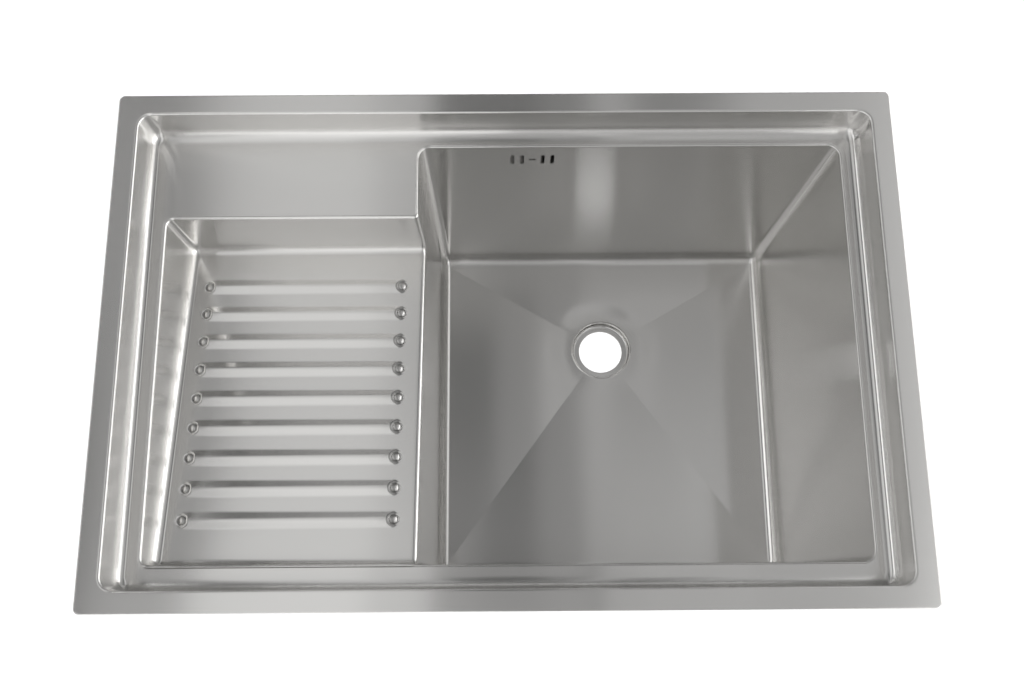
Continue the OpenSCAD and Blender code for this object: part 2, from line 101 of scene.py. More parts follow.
# Widths of the flat strips beside a bend and round the waste hole, which keep shading off the flat faces.
STRIP, HOLE_STRIP = 0.8, 0.6
# Points closer than WELD become one, and an edge shorter than SLIVER goes with its faces.
WELD, SLIVER = 0.01, 0.005

roll_x = BOWL_X0 - ROLL_R
tilt = math.atan((TRAY_BACK - TRAY_FRONT) / (TRAY_Y1 - TRAY_Y0))
down = Vector((0, -math.sin(tilt), -math.cos(tilt)))
tray_mid = (TRAY_Y0 + TRAY_Y1) / 2
back_y, front_y = TRAY_Y1 - TRAY_R, TRAY_Y0 + TRAY_R


def tray_z(y):
    """Height of the tray floor at y."""
    return LEDGE_Z - TRAY_FRONT - (y - TRAY_Y0) * math.tan(tilt)


def ball_z(y):
    """Height of the centre of the tray's foot bend at y."""
    return tray_z(y) + TRAY_R / math.cos(tilt)


def spread(a, b, n):
    """Values from a to b in n even steps, with both ends."""
    return [a + (b - a) * i / n for i in range(n + 1)]


def sine_cosine(degrees):
    """Sine and cosine of an angle."""
    return math.sin(math.radians(degrees)), math.cos(math.radians(degrees))


def level_way(degrees):
    """Level direction at an angle round from the right."""
    s, c = sine_cosine(degrees)
    return Vector((c, s, 0))


def up(z):
    """Step straight up by z."""
    return Vector((0, 0, z))


def turn_to(a, b, s):
    """Direction a share s of the way round from direction a to direction b."""
    angle = a.angle(b)
    return (a * math.sin((1 - s) * angle) + b * math.sin(s * angle)) / math.sin(angle)


def eased(share):
    """A share from 0 to 1, with a soft start and end."""
    return share * share * (3 - 2 * share)


class Sheet:
    """Collects patches of points in millimetres and makes one mesh object of them."""

    def __init__(self, name):
        self.name, self.points, self.faces = name, [], []

    def patch(self, rows, closed=False):
        """Adds a grid of faces between rows of points of equal length. A None leaves its faces out."""
        index = [[None if p is None else self.add(p) for p in row] for row in rows]
        for low, high in zip(index, index[1:]):
            n = len(low)
            for j in range(n if closed else n - 1):
                quad = [low[j], low[(j + 1) % n], high[(j + 1) % n], high[j]]
                if None not in quad:
                    self.faces.append(quad)

    def add(self, point):
        """Keeps a point and returns its number."""
        self.points.append(point)
        return len(self.points) - 1

    def object(self, fill=None, last=None):
        """Welds the patches and returns the object, linked to the scene."""
        mesh = bpy.data.meshes.new(self.name)
        mesh.from_pydata([Vector(p) * MM for p in self.points], [], self.faces)
        work = bmesh.new()
        work.from_mesh(mesh)
        bmesh.ops.remove_doubles(work, verts=work.verts, dist=WELD * MM)
        bmesh.ops.dissolve_degenerate(work, dist=SLIVER * MM, edges=work.edges)
        if fill:
            fill(work)
        bmesh.ops.recalc_face_normals(work, faces=work.faces)
        if max(work.faces, key=lambda f: f.calc_area()).normal.z < 0:
            bmesh.ops.reverse_faces(work, faces=work.faces)
        for face in work.faces:
            face.smooth = True
        if last:
            last(work)
        work.to_mesh(mesh)
        work.free()
        made = bpy.data.objects.new(self.name, mesh)
        scene.collection.objects.link(made)
        return made


def ring_columns(x0, x1, y0, y1, r, across, along, corner):
    """Columns round a rectangle with corner radius r: each a place to swing from and a direction out."""
    columns = []
    sides = (
        (x1 - r, y0 + r, 0, along, 0, 1, y1 - y0 - 2 * r),
        (x1 - r, y1 - r, 90, across, -1, 0, x1 - x0 - 2 * r),
        (x0 + r, y1 - r, 180, along, 0, -1, y1 - y0 - 2 * r),
        (x0 + r, y0 + r, 270, across, 1, 0, x1 - x0 - 2 * r),
    )
    for x, y, angle, steps, dx, dy, length in sides:
        for s in spread(0, length, steps)[:-1]:
            columns.append((Vector((x + dx * s, y + dy * s, 0)), level_way(angle)))
        for a in spread(angle, angle + 90, corner)[:-1]:
            columns.append((Vector((x + dx * length, y + dy * length, 0)), level_way(a)))
    return columns


def ring(columns, r, z):
    """One row of points at radius r and height z."""
    return [base + out * r + up(z) for base, out in columns]


# Deck: flange, fold, step wall, foot bend and ledge, pressed from one sheet


def foot_radius(out):
    """Radius of the step's foot bend, tightest at the left."""
    return FOOT_R + WIDER_FOOT * (1 - max(0.0, -out.x))


deck_sheet = Sheet("deck_sheet")
edge = ring_columns(-RIM_W / 2, RIM_W / 2, -RIM_D / 2, RIM_D / 2, RIM_R, *RIM_STEPS)
step = ring_columns(-OPEN_W / 2, OPEN_W / 2, -OPEN_D / 2, OPEN_D / 2, OPEN_R, *RIM_STEPS)
rows = [ring(edge, RIM_R, FLANGE_Z), ring(edge, RIM_R - STRIP, FLANGE_Z)]
rows.append(ring(step, OPEN_R + FOLD_R + STRIP, FLANGE_Z))
for a in spread(0, 90, FOLD_STEPS):
    s, c = sine_cosine(a)
    rows.append(ring(step, OPEN_R + FOLD_R * (1 - s), FLANGE_Z - FOLD_R * (1 - c)))
# One row on the flat of the step wall, above its widest foot bend.
rows.append(ring(step, OPEN_R, LEDGE_Z + 18))
for a in spread(0, 90, STEP_FOOT_STEPS):
    s, c = sine_cosine(a)
    row = []
    for base, out in step:
        r = foot_radius(out)
        row.append(base + out * (OPEN_R - r * (1 - c)) + up(LEDGE_Z + r * (1 - s)))
    rows.append(row)
rows.append([base + out * (OPEN_R - foot_radius(out) - STRIP) + up(LEDGE_Z) for base, out in step])
deck_sheet.patch(rows, closed=True)
ledge_edge = rows[-1]


def opening_outline(grow):
    """Outline of the hole in the ledge, further out than the walls of the bowl and tray by grow."""
    points = []

    def bend(x, y, r, a0, a1):
        """Adds the points round one corner."""
        for a in spread(a0, a1, LEDGE_STEPS):
            s, c = sine_cosine(a)
            points.append((x + r * c, y + r * s, LEDGE_Z))

    r = BOWL_R + grow
    bend(BOWL_X1 - BOWL_R, BOWL_Y0 + BOWL_R, r, -90, 0)
    bend(BOWL_X1 - BOWL_R, BOWL_Y1 - BOWL_R, r, 0, 90)
    bend(BOWL_X0 + BOWL_R, BOWL_Y1 - BOWL_R, r, 90, 180)
    bend(roll_x, TRAY_Y1 + ROLL_R, ROLL_R - grow, 0, -90)
    r = TRAY_R + grow
    bend(TRAY_X0 + TRAY_R, TRAY_Y1 - TRAY_R, r, 90, 180)
    bend(TRAY_X0 + TRAY_R, TRAY_Y0 + TRAY_R, r, 180, 270)
    return points


def fill_ledge(work):
    """Fills the ledge between the step's foot and the hole for the bowl and tray."""
    at_place = {tuple(round(k / MM, 2) for k in v.co): v for v in work.verts}
    outer = [at_place[tuple(round(k, 2) for k in p)] for p in ledge_edge]
    lines = []
    for a, b in zip(outer, outer[1:] + outer[:1]):
        lines.append(work.edges.get((a, b)) or work.edges.new((a, b)))
    loops = []
    for grow in (EDGE_R + STRIP, EDGE_R):
        loops.append([work.verts.new(Vector(p) * MM) for p in opening_outline(grow)])
    for a, b in zip(loops[0], loops[0][1:] + loops[0][:1]):
        lines.append(work.edges.new((a, b)))
    n = len(loops[0])
    for i in range(n):
        work.faces.new((loops[0][i], loops[0][(i + 1) % n], loops[1][(i + 1) % n], loops[1][i]))
    bmesh.ops.triangle_fill(work, use_beauty=True, edges=lines)


deck = deck_sheet.object(fill=fill_ledge)

# Washboard tray: walls, foot bends, ribbed floor and the edge rolled into the bowl

tray_sheet = Sheet("washboard_sheet")
rib_x0, rib_x1 = TRAY_X0 + RIB_MARGIN, BOWL_X0 - RIB_MARGIN


def mark_reach(x, y):
    """Distance from the middle of the nearest round mark at a rib's end."""
    k = round((y - tray_mid) / RIB_PITCH)
    if abs(k) > (RIBS - 1) / 2:
        return math.inf
    across = (y - tray_mid - k * RIB_PITCH) / math.cos(tilt)
    return math.hypot(max(rib_x0 - x, x - rib_x1) - MARK_OUT, across)


def rib_height(x, y):
    """Height of the pressed ribs over the tray floor, less the marks at their ends.
    A rib has sloping flanks, a round crown and a soft foot all round."""
    k = round((y - tray_mid) / RIB_PITCH)
    if abs(k) > (RIBS - 1) / 2:
        return 0.0
    across = (y - tray_mid - k * RIB_PITCH) / math.cos(tilt)
    d = math.hypot(x - min(max(x, rib_x0), rib_x1), across)
    crown, foot = RIB_CROWN * math.sin(RIB_SLOPE), RIB_FOOT * math.sin(RIB_SLOPE)
    low = RIB_FOOT * (1 - math.cos(RIB_SLOPE))
    if d >= RIB_W / 2:
        h = 0.0
    elif d >= RIB_W / 2 - foot:
        h = RIB_FOOT - math.sqrt(RIB_FOOT ** 2 - (RIB_W / 2 - d) ** 2)
    elif d >= crown:
        h = low + (RIB_W / 2 - foot - d) * math.tan(RIB_SLOPE)
    else:
        flank = low + (RIB_W / 2 - foot - crown) * math.tan(RIB_SLOPE)
        h = flank + math.sqrt(RIB_CROWN ** 2 - d * d) - RIB_CROWN * math.cos(RIB_SLOPE)
    return h - MARK_DEPTH * math.exp(-((mark_reach(x, y) - MARK_R) / MARK_W) ** 2)


def tray_point(x, y, g=0.0):
    """Point of the tray floor, lowered by g square to the floor."""
    foot = Vector((x, y, ball_z(y)))
    return foot + down * (TRAY_R + g - rib_height(x, y))


def wall_rows(base, out, r, top):
    """Points up a wall from the end of its foot bend, and over its rounded top edge."""
    points = [base + out * r + up(z - base.z) for z in spread(base.z, top - EDGE_R, WALL_STEPS)[1:]]
    for a in spread(0, 90, EDGE_STEPS)[1:]:
        s, c = sine_cosine(a)
        points.append(base + out * (r + EDGE_R * (1 - c)) + up(top - EDGE_R * (1 - s) - base.z))
    return points


def foot_rows(base, out, r):
    """Points up a foot bend from the tray floor to the wall."""
    return [base + turn_to(down, out, s) * r for s in spread(0, 1, TRAY_FOOT_STEPS)]


def side_rows(base, out, r=TRAY_R):
    """Points up a foot bend and on up its wall to the ledge."""
    return foot_rows(base, out, r) + wall_rows(base, out, r, LEDGE_Z)


# The tray's columns lie close together at the ribs' ends, from MARK_OUTER outside them to MARK_INNER inside.
MARK_OUTER, MARK_INNER = 8.4, 3.6
tray_xs = (
    spread(TRAY_X0 + TRAY_R, rib_x0 - MARK_OUTER, 3)[:-1]
    + spread(rib_x0 - MARK_OUTER, rib_x0 + MARK_INNER, 22)[:-1]
    + spread(rib_x0 + MARK_INNER, rib_x1 - MARK_INNER, 20)[:-1]
    + spread(rib_x1 - MARK_INNER, rib_x1 + MARK_OUTER, 22)[:-1]
    + spread(rib_x1 + MARK_OUTER, roll_x, 4)
)
# The tray's rows lie at these distances from each rib's middle line.
rib_lines = [0, 0.6, 1.2, 1.9, 2.6, 3.2, 3.8, 4.4, 5, 5.6, 6.2, 7, 7.8, 8.5, 9.5]
tray_ys = []
for k in range(RIBS):
    middle = tray_mid + (k - (RIBS - 1) / 2) * RIB_PITCH
    for offset in [-v for v in rib_lines[:0:-1]] + rib_lines:
        tray_ys.append(middle + offset)
tray_ys = spread(front_y, tray_ys[0], 3)[:-1] + tray_ys + spread(tray_ys[-1], back_y, 3)[1:]
rolls = [sine_cosine(a) for a in spread(0, 90, ROLL_STEPS)[1:]]

# Floor, with the roll down into the bowl.
rows = []
for y in tray_ys:
    row = [tray_point(x, y) for x in tray_xs]
    row += [tray_point(roll_x, y, ROLL_R * (1 - c)) + Vector((ROLL_R * s, 0, 0)) for s, c in rolls]
    rows.append(row)
tray_sheet.patch(rows)

# Back wall and its foot bend, with the upright edge rolled back into the bowl's left wall.
left, forward, backward = Vector((-1, 0, 0)), Vector((0, -1, 0)), Vector((0, 1, 0))
rows = [side_rows(Vector((x, back_y, ball_z(back_y))), backward) for x in tray_xs]
centre = Vector((roll_x, TRAY_Y1 + ROLL_R, ball_z(back_y)))
for s, c in rolls:
    base = Vector((roll_x + ROLL_R * s, back_y, ball_z(back_y)))
    foot = foot_rows(base, backward, TRAY_R + ROLL_R * (1 - c))
    rows.append(foot + wall_rows(centre, Vector((-s, c, 0)), -ROLL_R, LEDGE_Z))
tray_sheet.patch(rows)

# Front wall and its foot bend. The wall stays flat up to the bowl, and the bend sinks with the roll.
rows = []
front_places = [(x, 0.0) for x in tray_xs] + [(roll_x + ROLL_R * s, ROLL_R * (1 - c)) for s, c in rolls]
for x, lowered in front_places:
    base = Vector((x, front_y, ball_z(front_y))) + down * lowered
    sunk = front_y - base.y
    row = []
    for i, p in enumerate(side_rows(base, forward)):
        y = p.y + sunk * min(1, i / TRAY_FOOT_STEPS)
        if i <= TRAY_FOOT_STEPS + WALL_STEPS:
            y = max(y, TRAY_Y0)
        row.append(Vector((p.x, y, p.z)))
    rows.append(row)
tray_sheet.patch(rows)

# Left wall and its foot bend, and the two rounded corners.
tray_sheet.patch([side_rows(Vector((TRAY_X0 + TRAY_R, y, ball_z(y))), left) for y in tray_ys])
for y, a0, a1 in ((back_y, 90, 180), (front_y, 180, 270)):
    base = Vector((TRAY_X0 + TRAY_R, y, ball_z(y)))
    tray_sheet.patch([side_rows(base, level_way(a)) for a in spread(a0, a1, TRAY_CORNER_STEPS)])
washboard = tray_sheet.object()

# Where the marks are, the steel reads from this: its colour is darkened there as painted shade, standing for
# the shade in the marks' grooves, and its roughness is raised because the polishing belt doesn't reach into
# them. A mark's ring gets the most of both, and its middle less than half as much.
MIDDLE_SHADE_AND_DULLNESS = 0.4
dull_and_painted_shade = washboard.data.attributes.new("dull_and_painted_shade", "FLOAT", "POINT")
for v, entry in zip(washboard.data.vertices, dull_and_painted_shade.data):
    reach = mark_reach(v.co.x / MM, v.co.y / MM - TRAY_R * down.y)
    ring_shade_and_dullness = math.exp(-((reach - MARK_R) / MARK_W) ** 2 / 2)
    entry.value = max(ring_shade_and_dullness, MIDDLE_SHADE_AND_DULLNESS) if reach < MARK_R else ring_shade_and_dullness

# Bowl: walls, foot bend, X-creased floor and pressed waste seat

bowl_sheet = Sheet("bowl_sheet")
end_y = TRAY_Y1 + ROLL_R
foot_front = Vector((BOWL_X0, front_y, ball_z(front_y))) + down * ROLL_R
rolled_foot_r = TRAY_R + ROLL_R
# Below the tray's edge the wall's outline changes to the bowl's own over this height.
CHANGE_H = 16


def meeting_z(y):
    """Height at which the left wall meets the tray's rolled edge at y."""
    if y >= back_y + rolled_foot_r * down.y:
        return ball_z(back_y) - math.sqrt(max(0.0, rolled_foot_r ** 2 - (y - back_y) ** 2))
    if y >= front_y + TRAY_R * down.y:
        return tray_z(y) - ROLL_R / math.cos(tilt)
    return foot_front.z - math.sqrt(max(0.0, TRAY_R ** 2 - (y - front_y) ** 2))


def bowl_column(base, out, meet, corner=None):
    """Points down one column of the bowl's wall and round its foot bend.
    meet is the height of the row that joins the tray. corner is the point at that row, where it isn't on the
    bowl's own outline, and whether the wall goes on above it."""
    upper = [None] * (EDGE_STEPS + WALL_STEPS)
    if corner is None or corner[1]:
        profile = []
        for a in spread(90, 0, EDGE_STEPS):
            s, c = sine_cosine(a)
            profile.append((EDGE_R * (1 - c), LEDGE_Z - EDGE_R * (1 - s)))
        profile += [(0, z) for z in spread(LEDGE_Z - EDGE_R, meet, WALL_STEPS)[1:-1]]
        if corner is None:
            upper = [base + out * (BOWL_R + grow) + up(z) for grow, z in profile]
        else:
            upper = [Vector((corner[0].x, corner[0].y - grow, z)) for grow, z in profile]
    lower = []
    for z in spread(meet, FLOOR_Z + BOWL_R, LOW_STEPS):
        p = base + out * BOWL_R + up(z)
        if corner is not None:
            p = Vector((corner[0].x, corner[0].y, z)).lerp(p, eased(min(1.0, (meet - z) / CHANGE_H)))
        lower.append(p)
    # At the left and right the bend is flatter in its middle and tighter at its ends.
    power = 2 / (2 - FLATTER * out.x ** 2)
    bend = []
    for a in spread(0, 90, BOWL_FOOT_STEPS)[1:]:
        s, c = sine_cosine(a)
        bend.append(base + out * BOWL_R * c ** power + up(FLOOR_Z + BOWL_R * (1 - s ** power)))
    return upper + lower + bend


columns = []
plain_meet = ball_z(back_y)
x_lo, x_hi, y_lo, y_hi = BOWL_X0 + BOWL_R, BOWL_X1 - BOWL_R, BOWL_Y0 + BOWL_R, BOWL_Y1 - BOWL_R


def stand(x, y, out, meet=plain_meet, corner=None):
    """Adds one column of the bowl."""
    columns.append(bowl_column(Vector((x, y, 0)), out, meet, corner))


def bowl_corner(x, y, a0):
    """Adds the columns round one corner of the bowl."""
    for a in spread(a0, a0 - 90, CORNER_STEPS)[1:-1]:
        stand(x, y, level_way(a))


for y in spread(end_y, y_hi, 8):
    stand(x_lo, y, left)
bowl_corner(x_lo, y_hi, 180)
for x in spread(x_lo, x_hi, LONG_STEPS):
    stand(x, y_hi, backward)
bowl_corner(x_hi, y_hi, 90)
for y in spread(y_hi, y_lo, LONG_STEPS):
    stand(x_hi, y, -left)
bowl_corner(x_hi, y_lo, 0)
front_meet = foot_front.z
for x in spread(x_hi, x_lo, LONG_STEPS):
    share = (x - x_lo) / (x_hi - x_lo)
    stand(x, y_lo, forward, front_meet + (plain_meet - front_meet) * share)
# Beside the tray the wall's top has a square corner: on along the front, then back under the tray's edge.
half = CORNER_STEPS // 2
for i in range(1, CORNER_STEPS):
    if i <= half:
        top, goes_on = Vector((x_lo - BOWL_R * i / half, BOWL_Y0, 0)), True
    else:
        top, goes_on = Vector((BOWL_X0, BOWL_Y0 + BOWL_R * (i - half) / half, 0)), False
    meet = front_meet if goes_on else meeting_z(top.y)
    stand(x_lo, y_lo, level_way(270 - 90 * i / CORNER_STEPS), meet, (top, goes_on))
# Under the tray's edge the columns are even up to 2 mm before the tray's back bend, and closer along it.
opening_ys = spread(y_lo, back_y - 2, 28)
opening_ys += [back_y + rolled_foot_r * math.sin(math.radians(a)) for a in spread(0, 90, ROLL_STEPS)]
for y in opening_ys[:-1]:
    stand(x_lo, y, left, meeting_z(y), (Vector((BOWL_X0, y, 0)), False))
columns.append(columns[0])
bowl_sheet.patch(columns)

# Floor: four flat falls to the waste, then the pressed seat.
waste = Vector((WASTE_X, WASTE_Y, 0))
border = []
for column in columns[:-1]:
    if not border or (column[-1] - border[-1]).length > WELD:
        border.append(column[-1])
rows = [border]
lip_z = FLOOR_Z - FALL + LIP_RISE
# Each row lies a share s of the way from the floor's edge to the seat, closer together round the seat.
for s in (0.02, 0.1, 0.25, 0.4, 0.55, 0.65, 0.7, 0.75, 0.8, 0.85, 0.9, 0.94, 0.97, 1.0):
    row = []
    for p in border:
        flat = Vector((p.x, p.y, 0)) - waste
        reach = flat.length + (SEAT_RIM - flat.length) * s
        z = FLOOR_Z - FALL * (1 - reach / flat.length)
        near_lip = eased(min(1.0, max(0.0, (SEAT_RIM + LIP_FADE - reach) / LIP_FADE)))
        row.append(waste + flat.normalized() * reach + up(z + (lip_z - z) * near_lip))
    rows.append(row)
# The pressing leaves a low bead round the seat.
seat_profile = []
for s in (0.15, 0.3, 0.45, 0.6, 0.75, 0.9, 1.0):
    rise = BEAD_H * (1 - math.cos(math.pi * s)) / 2
    seat_profile.append((SEAT_R + LIP_R + BEAD_W * (1 - s), lip_z + rise))
for a in spread(0, 90, LIP_STEPS)[1:]:
    s, c = sine_cosine(a)
    seat_profile.append((SEAT_R + LIP_R * (1 - s), lip_z + BEAD_H - LIP_R * (1 - c)))
seat_z = FLOOR_Z - FALL - SEAT_H
for a in spread(0, 90, SEAT_FOOT_STEPS):
    s, c = sine_cosine(a)
    seat_profile.append((SEAT_R - SEAT_FOOT_R * (1 - c), seat_z + SEAT_FOOT_R * (1 - s)))
seat_profile += [(SEAT_R - SEAT_FOOT_R - STRIP, seat_z), (HOLE_R + HOLE_STRIP, seat_z), (HOLE_R, seat_z)]
ways = [(Vector((p.x, p.y, 0)) - waste).normalized() for p in border]
for reach, z in seat_profile:
    rows.append([waste + way * reach + up(z) for way in ways])
bowl_sheet.patch(rows, closed=True)


def sharpen_creases(work):
    """Keeps the X of creases in the floor crisp, where two flat falls meet at a few degrees.
    A crease lies between two nearly level faces that differ by over 1.2 degrees. It points at the waste and
    is clear of the lip round it."""
    for e in work.edges:
        level = len(e.link_faces) == 2 and all(f.normal.z > math.cos(math.radians(5)) for f in e.link_faces)
        way = e.verts[1].co - e.verts[0].co
        from_waste = e.verts[0].co.xy - waste.xy * MM
        radial = abs(way.xy.cross(from_waste)) < 0.02 * way.length * from_waste.length
        clear = from_waste.length > (SEAT_RIM + LIP_FADE) * MM
        if level and radial and clear:
            e.smooth = e.calc_face_angle() < math.radians(1.2)


bowl = bowl_sheet.object(last=sharpen_creases)

# Overflow slots, cut through the bowl's back wall: two upright ones at each side of a short dash. The cutter
# reaches from CUT_IN inside the bowl to CUT_OUT behind its wall.
CUT_IN, CUT_OUT = 3, 4
cut_mesh = bmesh.new()
for x, w, h in [(place, SLOT_W, SLOT_H) for place in SLOT_PLACES] + [(0, DASH_W, DASH_H)]:
    r = min(w, h) / 2
    outline = []
    # The points start a little past level, so that none lies where an end's arc changes sides.
    for a in spread(5.6, 365.6, 32)[:-1]:
        s, c = sine_cosine(a)
        cx = math.copysign(w / 2 - r, c)
        cz = math.copysign(h / 2 - r, s)
        outline.append((OVERFLOW_X + x + cx + r * c, OVERFLOW_Z + cz + r * s))
    near = [cut_mesh.verts.new(Vector((px, BOWL_Y1 - CUT_IN, pz)) * MM) for px, pz in outline]
    far = [cut_mesh.verts.new(Vector((px, BOWL_Y1 + CUT_OUT, pz)) * MM) for px, pz in outline]
    cut_mesh.faces.new(near[::-1])
    cut_mesh.faces.new(far)
    for i in range(len(near)):
        j = (i + 1) % len(near)
        cut_mesh.faces.new((near[i], near[j], far[j], far[i]))
bmesh.ops.recalc_face_normals(cut_mesh, faces=cut_mesh.faces)
slot_data = bpy.data.meshes.new("slot_cutter")
cut_mesh.to_mesh(slot_data)
cut_mesh.free()
cutter = bpy.data.objects.new("slot_cutter", slot_data)
scene.collection.objects.link(cutter)

for piece, replaced in ((deck, "deck"), (washboard, "washboard"), (bowl, "bowl")):
    solid = piece.modifiers.new("sheet thickness", "SOLIDIFY")
    solid.thickness = SHEET * MM
    solid.offset = -1
    if piece is bowl:
        cut = piece.modifiers.new("overflow slots", "BOOLEAN")
        cut.object = cutter
        cut.solver = "EXACT"
    flat = piece.modifiers.new("flat faces stay flat", "WEIGHTED_NORMAL")
    flat.keep_sharp = True
    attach(piece, "sink")
    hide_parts(replaced)

# The cutter is used up here, so nothing of it stays in the scene.
bpy.context.view_layer.update()
graph = bpy.context.evaluated_depsgraph_get()
done = bpy.data.meshes.new_from_object(bowl.evaluated_get(graph))
bowl.modifiers.clear()
bowl.data = done
bpy.data.objects.remove(cutter)

# Materials


def hex_linear(code):
    """Linear colour of an sRGB hex code."""
    out = []
    for i in (0, 2, 4):
        v = int(code[i:i + 2], 16) / 255
        out.append(v / 12.92 if v <= 0.04045 else ((v + 0.055) / 1.055) ** 2.4)
    return (*out, 1.0)


def new_material(name):
    """Adds a material and returns it with its node tree and its main shader."""
    material = bpy.data.materials.new(name)
    material.use_nodes = True
    return material, material.node_tree, material.node_tree.nodes["Principled BSDF"]


def add(tree, kind, settings=None, **links):
    """Adds a node with its settings and links. A link's name is the input's name or number after an i."""
    node = tree.nodes.new(kind)
    for key, value in (settings or {}).items():
        if isinstance(key, str) and key in node.bl_rna.properties:
            setattr(node, key, value)
        else:
            node.inputs[key].default_value = value
    for key, source in links.items():
        tree.links.new(source, node.inputs[int(key[1:]) if key[1:].isdigit() else key])
    return node


# Brushed 304 stainless sheet, belt-polished from side to side: a soft mirror that smears what it reflects
# from front to back and keeps it sharp from side to side. On walls that face sideways the grain runs level.
steel, tree, shader = new_material("brushed_stainless_304")
shader.inputs["Metallic"].default_value = 1.0
shader.inputs["Anisotropic"].default_value = 1.0
shader.inputs["Anisotropic Rotation"].default_value = 0.25
# Painted shade: the round marks at the ribs' ends get a darker colour for the shade in their grooves, and
# are dull from the punch.
marks = add(tree, "ShaderNodeAttribute", {"attribute_name": "dull_and_painted_shade"})
tone = add(
    tree, "ShaderNodeMix", {"data_type": "RGBA", 6: hex_linear("DAD9D7"), 7: hex_linear("8C8B89")},
    i0=marks.outputs["Fac"],
)
tree.links.new(tone.outputs[2], shader.inputs["Base Color"])
spot = add(tree, "ShaderNodeTexCoord")
facing = add(tree, "ShaderNodeSeparateXYZ", i0=spot.outputs["Normal"])
sideways = add(tree, "ShaderNodeMath", {"operation": "ABSOLUTE"}, i0=facing.outputs["X"])
side_wall = add(tree, "ShaderNodeMath", {"operation": "GREATER_THAN", 1: 0.7}, i0=sideways.outputs[0])
grain = add(
    tree, "ShaderNodeMix", {"data_type": "VECTOR", 4: (1, 0, 0), 5: (0, 1, 0)},
    i0=side_wall.outputs[0],
)
tree.links.new(grain.outputs[1], shader.inputs["Tangent"])
# Belt lines are about 0.1 mm apart, which is too fine to show, so they are drawn 2 mm apart and 100 mm long.
across = add(tree, "ShaderNodeMapping", {"Scale": (10, 500, 500)}, Vector=spot.outputs["Object"])
along = add(tree, "ShaderNodeMapping", {"Scale": (500, 10, 500)}, Vector=spot.outputs["Object"])
stretch = add(
    tree, "ShaderNodeMix", {"data_type": "VECTOR"},
    i0=side_wall.outputs[0], i4=across.outputs[0], i5=along.outputs[0],
)
lines = add(tree, "ShaderNodeTexNoise", {"Scale": 1.0, "Detail": 2.0}, Vector=stretch.outputs[1])
rough = add(tree, "ShaderNodeMapRange", {1: 0.3, 2: 0.7, 3: 0.215, 4: 0.225}, i0=lines.outputs[0])
dull = add(
    tree, "ShaderNodeMix", {"data_type": "FLOAT", 3: 0.4},
    i0=marks.outputs["Fac"], i2=rough.outputs[0],
)
tree.links.new(dull.outputs[0], shader.inputs["Roughness"])
# Pressing leaves the sheet slightly uneven, with swells some 60 mm wide, 250 mm long from front to back and
# hundredths of a millimetre deep, which show as soft upright bands in what the sheet reflects.
drawn = add(tree, "ShaderNodeMapping", {"Scale": (16, 4, 16)}, Vector=spot.outputs["Object"])
swell = add(tree, "ShaderNodeTexNoise", {"Scale": 1.0, "Detail": 1.0}, Vector=drawn.outputs[0])
swell_bump = add(tree, "ShaderNodeBump", {"Strength": 1.0, "Distance": 0.00002}, Height=swell.outputs[0])
tree.links.new(swell_bump.outputs[0], shader.inputs["Normal"])

# The same sheet, turned bright at the waste seat and its bead, so it has no grain and shows crisp rings.
turned, tree, shader = new_material("turned_stainless_304")
shader.inputs["Base Color"].default_value = hex_linear("DAD9D7")
shader.inputs["Metallic"].default_value = 1.0
# Turning lines are about 0.1 mm apart, which is too fine to show, so they are drawn 0.5 mm apart.
spot = add(tree, "ShaderNodeTexCoord")
level = add(tree, "ShaderNodeMapping", {"Scale": (1, 1, 0)}, Vector=spot.outputs["Object"])
to_waste = add(
    tree, "ShaderNodeVectorMath", {"operation": "DISTANCE", 1: (WASTE_X * MM, WASTE_Y * MM, 0)},
    i0=level.outputs[0],
)
rings = add(
    tree, "ShaderNodeTexNoise", {"noise_dimensions": "1D", "Scale": 2000.0},
    W=to_waste.outputs["Value"],
)
rough = add(tree, "ShaderNodeMapRange", {1: 0.3, 2: 0.7, 3: 0.115, 4: 0.125}, i0=rings.outputs[0])
tree.links.new(rough.outputs[0], shader.inputs["Roughness"])

# Zinc-plated steel strip and screws, bright with a slight blue, and clouded in patches 5 to 6 mm across.
zinc, tree, shader = new_material("zinc_plated_steel")
shader.inputs["Metallic"].default_value = 1.0
place = add(tree, "ShaderNodeTexCoord")
cloud = add(tree, "ShaderNodeTexNoise", {"Scale": 180.0, "Detail": 4.0}, Vector=place.outputs["Object"])
ramp = add(tree, "ShaderNodeMapRange", {1: 0.3, 2: 0.7, 3: 0.25, 4: 0.45}, i0=cloud.outputs[0])
tree.links.new(ramp.outputs[0], shader.inputs["Roughness"])
tone = add(
    tree, "ShaderNodeMix", {"data_type": "RGBA", 6: hex_linear("B9BDC2"), 7: hex_linear("9EA3AA")},
    i0=cloud.outputs[0],
)
tree.links.new(tone.outputs[2], shader.inputs["Base Color"])

# Closed-cell foam strip, cut from sheet: dark and dull, with cells 0.8 mm across.
foam, tree, shader = new_material("closed_cell_foam")
place = add(tree, "ShaderNodeTexCoord")
cells = add(tree, "ShaderNodeTexVoronoi", {"Scale": 1200.0}, Vector=place.outputs["Object"])
tone = add(
    tree, "ShaderNodeMix", {"data_type": "RGBA", 6: hex_linear("1E1E20"), 7: hex_linear("2C2C2E")},
    i0=cells.outputs[0],
)
tree.links.new(tone.outputs[2], shader.inputs["Base Color"])
shader.inputs["Roughness"].default_value = 0.9
bump = add(tree, "ShaderNodeBump", {"Strength": 0.4, "Distance": 0.0003}, Height=cells.outputs[0])
tree.links.new(bump.outputs[0], shader.inputs["Normal"])

